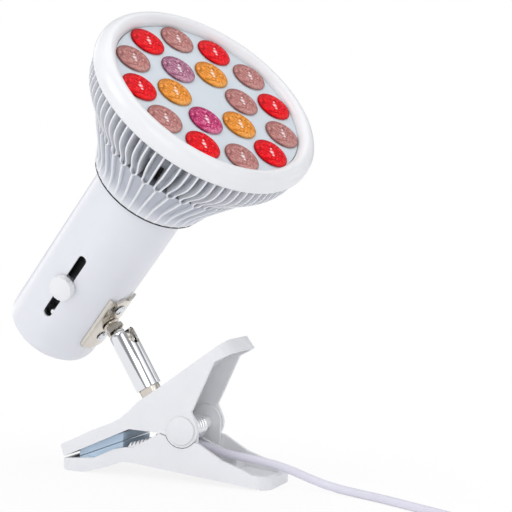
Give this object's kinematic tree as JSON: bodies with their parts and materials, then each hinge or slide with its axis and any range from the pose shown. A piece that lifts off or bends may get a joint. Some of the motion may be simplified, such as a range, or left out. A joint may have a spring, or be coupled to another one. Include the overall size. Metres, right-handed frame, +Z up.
{
  "type": "clip-on infrared heat therapy lamp",
  "caption": "Clip-on infrared lamp: round head with domed coloured lenses on a finned heat sink, in a slotted tube housing on a ball joint, carried by a white spring clamp with a cord.",
  "frame": {"origin": "middle of the lamp's base on the surface it stands on, the loose cord, its coil and plug left out", "axes": "+Z up; +X along the clamp from its jaws to its handles; +Y along the clamp's pivot, away from the picture's camera"},
  "size_m": [0.3762, 0.1611, 0.2396],
  "materials": {
    "white_plastic": "satin white moulded plastic",
    "white_gloss": "glossy white moulded plastic",
    "tube_enamel": "satin white enamel on sheet metal",
    "sink_enamel": "white powder coat on cast aluminium",
    "face_white": "pale satin plastic",
    "pad_rubber": "blue-grey soft rubber",
    "chrome": "bright chrome",
    "nickel": "warm bright nickel plate",
    "spring_steel": "drawn steel wire",
    "zinc": "zinc-plated steel",
    "brass": "plain brass",
    "black_plastic": "black heat-resistant plastic",
    "board_green": "white-faced aluminium light board",
    "glass_insulator": "black vitrite insulator",
    "cord_white": "soft pale vinyl",
    "tie_black": "black strap",
    "lens_red": "clear moulded lens over a red light",
    "lens_pale": "clear moulded lens over an infrared light",
    "lens_mauve": "clear moulded lens over an infrared light, cool tint",
    "lens_orange": "clear moulded lens over an amber light",
    "lens_magenta": "clear moulded lens over a deep red light"
  },
  "bodies": {
    "lower_half": {"lower_lever": "white_plastic", "lower_pad": "pad_rubber", "pivot_pin": "spring_steel", "spring_sleeve": "white_plastic", "torsion_spring": "spring_steel", "cord_bushing": "cord_white", "cord_free": "cord_white", "cord_coil": "cord_white", "cord_tail": "cord_white", "cord_tie": "tie_black", "plug_body": "cord_white", "plug_pin_1": "zinc", "plug_pin_2": "zinc"},
    "upper_half": {"upper_lever": "white_plastic", "upper_pad": "pad_rubber", "pivot_cap_near": "white_plastic", "pivot_cap_far": "white_plastic", "collar": "nickel", "collar_nut": "zinc"},
    "swivel": {"swivel_tube": "chrome", "ball_seat": "brass", "seat_plug": "zinc"},
    "neck": {"neck_washer": "zinc"},
    "head": {"ball_stud": "nickel", "bracket_plate": "nickel", "bracket_screw_upper": "zinc", "bracket_screw_lower": "zinc", "tube_housing": "tube_enamel"},
    "holder": {"socket_body": "black_plastic", "socket_shell": "brass", "socket_contact": "brass", "slide_nut": "zinc"},
    "knob": {"height_knob": "white_gloss"},
    "cap_carrier": {"cap_insulator": "glass_insulator"},
    "bulb": {"cap_shell": "zinc", "tip_contact": "zinc", "driver_housing": "white_plastic", "heat_sink_bell": "sink_enamel", "heat_sink_fins": "sink_enamel", "bezel": "white_gloss", "face_plate": "face_white", "led_board": "board_green", "lens_outer_01": "lens_red", "lens_outer_02": "lens_pale", "lens_outer_03": "lens_red", "lens_outer_04": "lens_pale", "lens_outer_05": "lens_red", "lens_outer_06": "lens_pale", "lens_outer_07": "lens_red", "lens_outer_08": "lens_pale", "lens_outer_09": "lens_red", "lens_outer_10": "lens_pale", "lens_outer_11": "lens_red", "lens_outer_12": "lens_pale", "lens_inner_01": "lens_mauve", "lens_inner_02": "lens_orange", "lens_inner_03": "lens_pale", "lens_inner_04": "lens_orange", "lens_inner_05": "lens_magenta", "lens_inner_06": "lens_orange"}
  },
  "joints": [
    {"name": "jaw_open", "type": "hinge", "parent": "lower_half", "child": "upper_half", "pos_m": [0.02343, 0.03234, 0.0266], "axis": [0, 1, 0], "range_deg": [0, 45], "stiffness_Nm_per_rad": 0.5, "springref_deg": -45.84, "deforming": ["torsion_spring"]},
    {"name": "arm_spin", "type": "hinge", "parent": "upper_half", "child": "swivel", "pos_m": [-0.01851, 0.03234, 0.06789], "axis": [-0.5314, 0, 0.8471], "range_deg": [-170, 170]},
    {"name": "ball_tilt", "type": "hinge", "parent": "swivel", "child": "neck", "pos_m": [-0.01851, 0.03234, 0.06789], "axis": [0.2392, 0.9593, 0.15], "range_deg": [0, 55]},
    {"name": "head_turn", "type": "hinge", "parent": "neck", "child": "head", "pos_m": [-0.01851, 0.03234, 0.06789], "axis": [-0.7392, 0.0797, 0.6687], "range_deg": [-170, 170]},
    {"name": "holder_slide", "type": "slide", "parent": "head", "child": "holder", "axis": [0.6111, -0.3379, 0.7158], "range_m": [0, 0.017]},
    {"name": "knob_turn", "type": "hinge", "parent": "holder", "child": "knob", "pos_m": [-0.0396, 0.03081, 0.10472], "axis": [-0.1572, -0.9381, -0.3087], "range_deg": [0, 360]},
    {"name": "bulb_rise", "type": "slide", "parent": "holder", "child": "cap_carrier", "axis": [0.6111, -0.3379, 0.7158], "range_m": [0, 0.011]},
    {"name": "bulb_turn", "type": "hinge", "parent": "cap_carrier", "child": "bulb", "pos_m": [0.03923, -0.01278, 0.19706], "axis": [0.6111, -0.3379, 0.7158], "range_deg": [0, 1080]}
  ],
  "couplings": [
    {"joint": "bulb_rise", "follows": "bulb_turn", "m_per_rad": 0.00057614}
  ]
}
